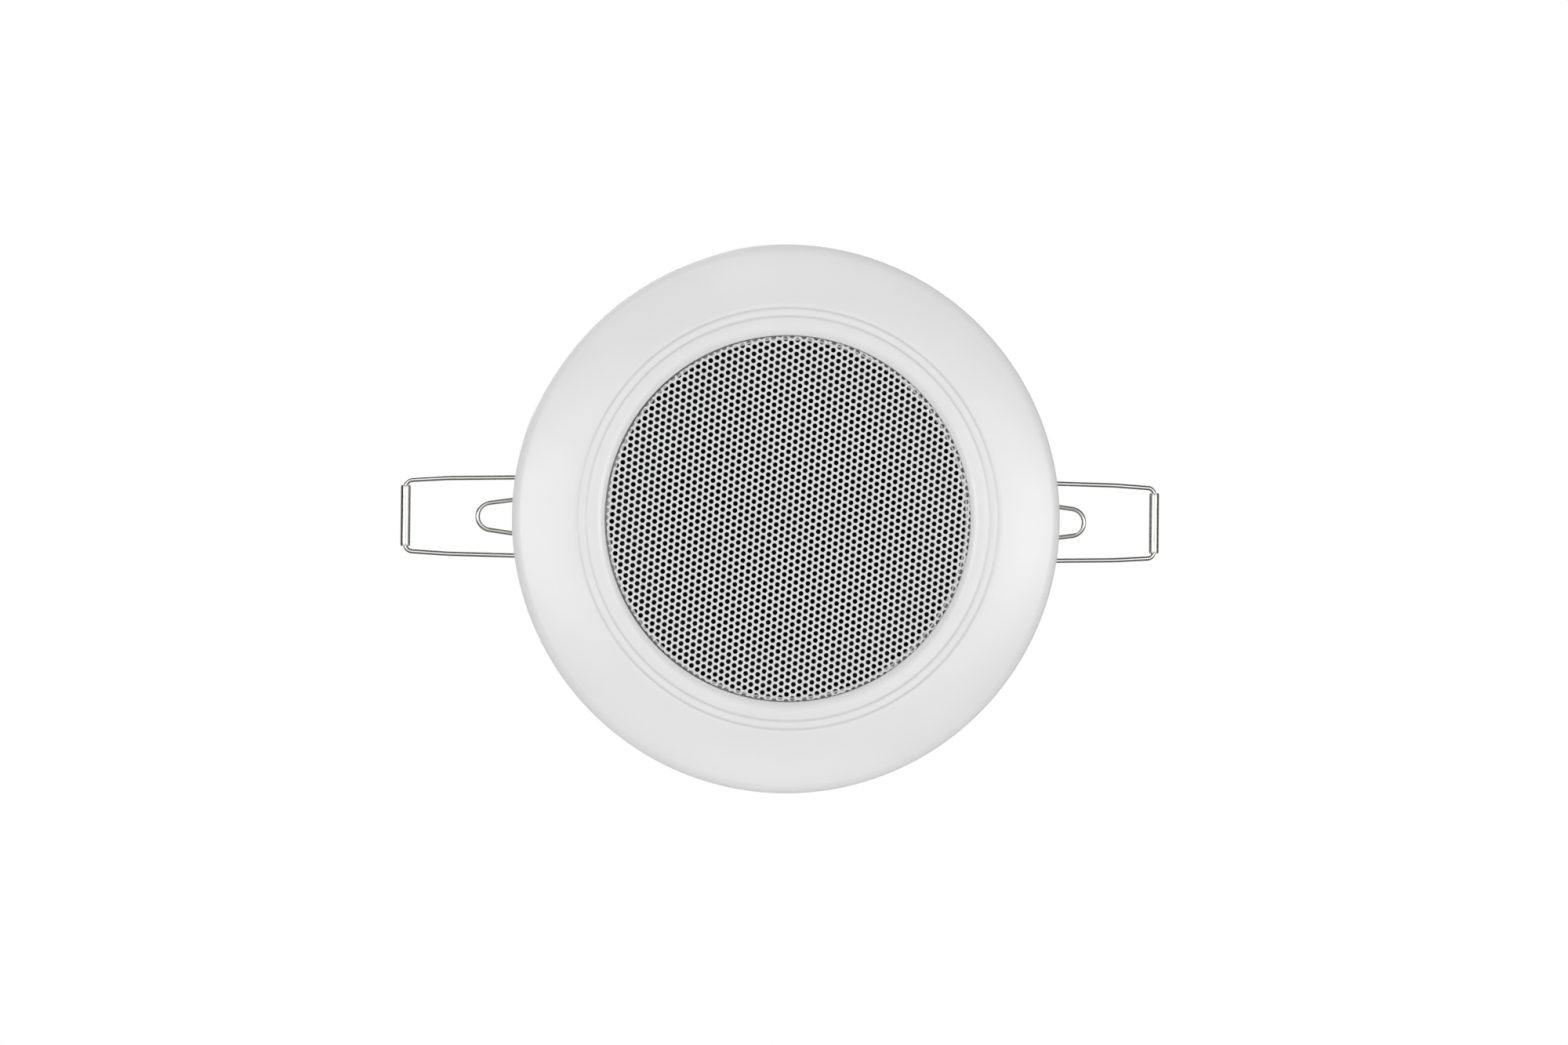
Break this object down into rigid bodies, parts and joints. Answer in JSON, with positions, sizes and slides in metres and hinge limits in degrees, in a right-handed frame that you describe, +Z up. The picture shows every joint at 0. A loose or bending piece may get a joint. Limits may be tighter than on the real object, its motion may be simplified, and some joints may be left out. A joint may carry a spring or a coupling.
{
  "type": "in-ceiling speaker",
  "caption": "Round in-ceiling speaker with a domed bezel, a flat perforated grille, a cone driver behind it and sprung wire clips that grip the ceiling board.",
  "frame": {"origin": "centre of the bezel's flat rear rim, on the speaker's axis, in the plane of the ceiling's underside", "axes": "+Z up into the ceiling void, away from the room; +X through the right-hand clip; the grille faces -Z; the picture's left is -X and its top is -Y"},
  "size_m": [0.1666, 0.118, 0.0421],
  "materials": {
    "white_plastic": "moulded, fine satin grain",
    "white_paint": "white powder coat on perforated steel",
    "black_foam": "closed-cell foam",
    "zinc_steel": "zinc-plated pressed steel",
    "black_rubber": "matt rubber",
    "black_paper": "pressed paper pulp",
    "thin_aluminium": "thin rolled sheet",
    "copper_wire": "enamelled winding",
    "amber_cloth": "resin-treated cloth",
    "ferrite": "ground ferrite",
    "brown_fibre": "laminated fibre board",
    "tinned_brass": "tinned strip",
    "copper_braid": "braided tinsel",
    "nickel_steel": "bright nickel plate",
    "nickel_wire": "bright nickel-plated spring wire"
  },
  "bodies": {
    "speaker": {"bezel": "white_plastic", "grille": "white_paint", "driver_gasket": "black_foam", "driver_frame": "zinc_steel", "surround": "black_rubber", "spider": "amber_cloth", "top_plate": "zinc_steel", "magnet": "ferrite", "back_plate": "zinc_steel", "terminal_strip": "brown_fibre", "terminal_tags": "tinned_brass", "tinsel_leads": "copper_braid", "driver_screws": "nickel_steel", "bracket_rivets": "nickel_steel", "left_clip_bracket": "zinc_steel", "left_clip_pin": "nickel_steel", "right_clip_bracket": "zinc_steel", "right_clip_pin": "nickel_steel"},
    "diaphragm": {"cone": "black_paper", "dust_cap": "black_paper", "voice_coil_former": "thin_aluminium", "voice_coil_winding": "copper_wire"},
    "left_clip": {"left_clip_spring": "nickel_wire", "left_clip_sleeve": "nickel_steel"},
    "right_clip": {"right_clip_spring": "nickel_wire", "right_clip_sleeve": "nickel_steel"}
  },
  "joints": [
    {"name": "left_clip_swing", "type": "hinge", "parent": "speaker", "child": "left_clip", "pos_m": [-0.0476, 0, 0.0135], "axis": [0, 1, 0], "range_deg": [-25, 84], "stiffness_Nm_per_rad": 0.45, "deforming": ["left_clip_spring"]},
    {"name": "right_clip_swing", "type": "hinge", "parent": "speaker", "child": "right_clip", "pos_m": [0.0476, 0, 0.0135], "axis": [0, -1, 0], "range_deg": [-25, 84], "stiffness_Nm_per_rad": 0.45, "deforming": ["right_clip_spring"]},
    {"name": "cone_travel", "type": "slide", "parent": "speaker", "child": "diaphragm", "axis": [0, 0, 1], "range_m": [-0.0015, 0.0015], "stiffness_N_per_m": 1500, "deforming": ["surround", "spider", "tinsel_leads"]}
  ]
}
